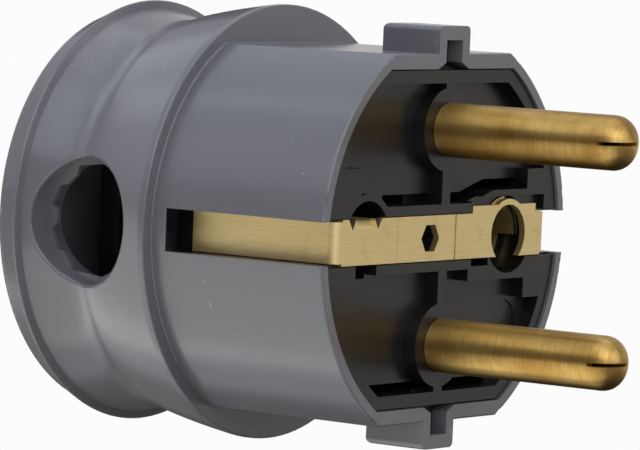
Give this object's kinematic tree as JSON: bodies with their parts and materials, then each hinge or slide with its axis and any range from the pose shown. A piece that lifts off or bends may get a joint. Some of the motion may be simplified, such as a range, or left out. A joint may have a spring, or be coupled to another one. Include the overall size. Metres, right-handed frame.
{
  "type": "mains plug",
  "caption": "Round side-entry mains plug with flatted nose, split brass pins, folded earth strip with earth-pin socket, and a spool-shaped grip.",
  "frame": {"origin": "middle of the flat rear face, which the plug stands on", "axes": "+Z along the pins, X along the line through both pins, -Y out of the cable entry"},
  "size_m": [0.0392, 0.0392, 0.0551],
  "materials": {
    "grey_plastic": "moulded, satin gloss, mid grey",
    "black_plastic": "moulded, fine satin, charcoal black",
    "pin_brass": "drawn and tumbled",
    "strip_brass": "rolled sheet, satin",
    "zinc_steel": "zinc plated"
  },
  "bodies": {
    "root": {"grip_cover": "grey_plastic", "contact_carrier": "black_plastic", "contact_pin_1": "pin_brass", "contact_pin_2": "pin_brass", "earth_strip": "strip_brass", "earth_socket_contact": "strip_brass", "terminal_screws": "zinc_steel", "clamp_washers": "zinc_steel", "cable_clamp_bar": "black_plastic", "cable_clamp_screws": "zinc_steel", "cover_screw": "zinc_steel", "cover_nut": "zinc_steel"}
  },
  "joints": []
}
